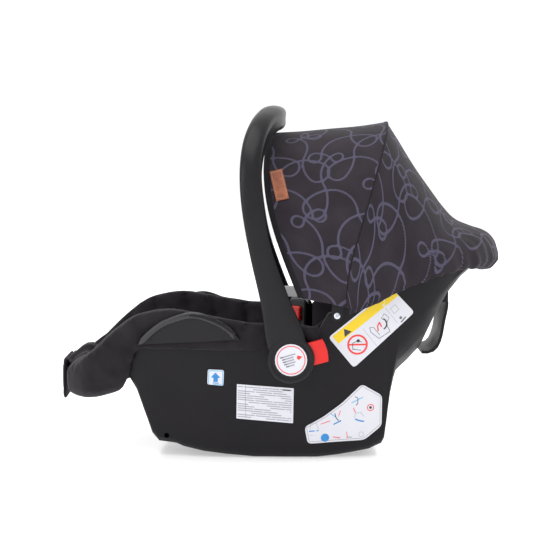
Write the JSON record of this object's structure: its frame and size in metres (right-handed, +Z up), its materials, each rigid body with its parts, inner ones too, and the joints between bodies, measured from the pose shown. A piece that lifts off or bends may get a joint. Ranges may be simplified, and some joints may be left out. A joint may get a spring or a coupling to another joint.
{
  "type": "infant car seat",
  "caption": "Rearward-facing infant carrier seat: moulded rocking shell, padded cover, swinging carry handle, folding sun canopy and harness with buckle.",
  "frame": {"origin": "middle of the length and width, on the floor under the rocker rails, in metres", "axes": "+X towards the head end, +Y towards the child's right side, +Z up; the labels are on the -Y wall"},
  "size_m": [0.706, 0.443, 0.5519],
  "materials": {
    "shell_plastic": "black moulded polypropylene, fine texture",
    "handle_plastic": "black moulded polypropylene, satin",
    "bow_plastic": "black polypropylene strip",
    "buckle_plastic": "black nylon, satin",
    "red_plastic": "red moulded plastic",
    "grey_plastic": "light grey nylon",
    "steel": "zinc-plated steel",
    "cover_fabric": "black woven polyester over foam",
    "pad_fabric": "black woven polyester, filled with fibre",
    "canopy_fabric": "charcoal woven polyester with printed grey looping lines",
    "webbing": "black polyester webbing",
    "label_film": "printed white film",
    "tag_leather": "tan leather with a stitched border"
  },
  "bodies": {
    "shell": {"shell": "shell_plastic", "hub_socket_left": "shell_plastic", "hub_socket_right": "shell_plastic", "canopy_bracket_left": "shell_plastic", "canopy_bracket_right": "shell_plastic", "lap_belt_guide_left": "shell_plastic", "lap_belt_guide_right": "shell_plastic", "rear_belt_guide": "shell_plastic", "rim_screw_left": "steel", "rim_screw_right": "steel", "pivot_bolt_left": "steel", "pivot_bolt_right": "steel", "lock_spring_left": "steel", "lock_spring_right": "steel", "seat_cover": "cover_fabric", "seat_pad": "pad_fabric", "head_ring": "pad_fabric", "foot_flap": "cover_fabric", "canopy_rear_panel": "canopy_fabric", "arrow_label": "label_film", "info_label": "label_film", "airbag_label": "label_film", "route_label": "label_film", "buckle_body": "buckle_plastic", "buckle_tongue_left": "grey_plastic", "buckle_tongue_right": "grey_plastic", "crotch_strap": "webbing", "crotch_pad": "pad_fabric", "shoulder_strap_left": "webbing", "shoulder_strap_right": "webbing", "shoulder_pad_left": "pad_fabric", "shoulder_pad_right": "pad_fabric", "harness_yoke": "steel", "crotch_anchor": "steel", "adjuster_strap": "webbing", "adjuster_body": "buckle_plastic", "adjuster_tail": "webbing"},
    "handle": {"handle_outer": "handle_plastic", "handle_inner": "handle_plastic", "hub_cap_left": "handle_plastic", "hub_cap_right": "handle_plastic", "hub_label_left": "label_film", "hub_label_right": "label_film"},
    "release_button_left": {"release_button_left": "red_plastic"},
    "release_button_right": {"release_button_right": "red_plastic"},
    "lock_wheel_left": {"lock_wheel_left": "grey_plastic"},
    "lock_wheel_right": {"lock_wheel_right": "grey_plastic"},
    "canopy_ridge": {"canopy_ridge_bow": "bow_plastic"},
    "canopy_front": {"canopy_front_bow": "bow_plastic", "canopy_front_panel": "canopy_fabric", "canopy_tag": "tag_leather"},
    "buckle_button": {"buckle_button": "red_plastic"},
    "adjuster_button": {"adjuster_button": "red_plastic"}
  },
  "joints": [
    {"name": "handle_swing", "type": "hinge", "parent": "shell", "child": "handle", "pos_m": [0.012, 0, 0.162], "axis": [0, -1, 0], "range_deg": [0, 80]},
    {"name": "canopy_fold", "type": "hinge", "parent": "shell", "child": "canopy_ridge", "pos_m": [0.085, 0, 0.25], "axis": [0, 1, 0], "range_deg": [0, 38], "deforming": ["canopy_rear_panel"]},
    {"name": "canopy_front_fold", "type": "hinge", "parent": "canopy_ridge", "child": "canopy_front", "pos_m": [0.085, 0, 0.25], "axis": [0, 1, 0], "range_deg": [0, 25], "deforming": ["canopy_front_panel"]},
    {"name": "release_press_left", "type": "slide", "parent": "handle", "child": "release_button_left", "axis": [-0.9659, 0, -0.2588], "range_m": [0, 0.005], "stiffness_N_per_m": 600},
    {"name": "lock_wheel_slide_left", "type": "slide", "parent": "shell", "child": "lock_wheel_left", "axis": [0, 1, 0], "range_m": [0, 0.0065], "stiffness_N_per_m": 400, "deforming": ["lock_spring_left"]},
    {"name": "release_press_right", "type": "slide", "parent": "handle", "child": "release_button_right", "axis": [-0.9659, 0, -0.2588], "range_m": [0, 0.005], "stiffness_N_per_m": 600},
    {"name": "lock_wheel_slide_right", "type": "slide", "parent": "shell", "child": "lock_wheel_right", "axis": [0, -1, 0], "range_m": [0, 0.0065], "stiffness_N_per_m": 400, "deforming": ["lock_spring_right"]},
    {"name": "buckle_press", "type": "slide", "parent": "shell", "child": "buckle_button", "axis": [0.788, 0.6157, 0], "range_m": [0, 0.0035], "stiffness_N_per_m": 900},
    {"name": "adjuster_press", "type": "slide", "parent": "shell", "child": "adjuster_button", "axis": [0, 0, -1], "range_m": [0, 0.003], "stiffness_N_per_m": 600}
  ],
  "couplings": [
    {"joint": "canopy_front_fold", "follows": "canopy_fold", "ratio": 0.65},
    {"joint": "lock_wheel_slide_left", "follows": "release_press_left", "ratio": 1.3},
    {"joint": "lock_wheel_slide_right", "follows": "release_press_right", "ratio": 1.3}
  ]
}
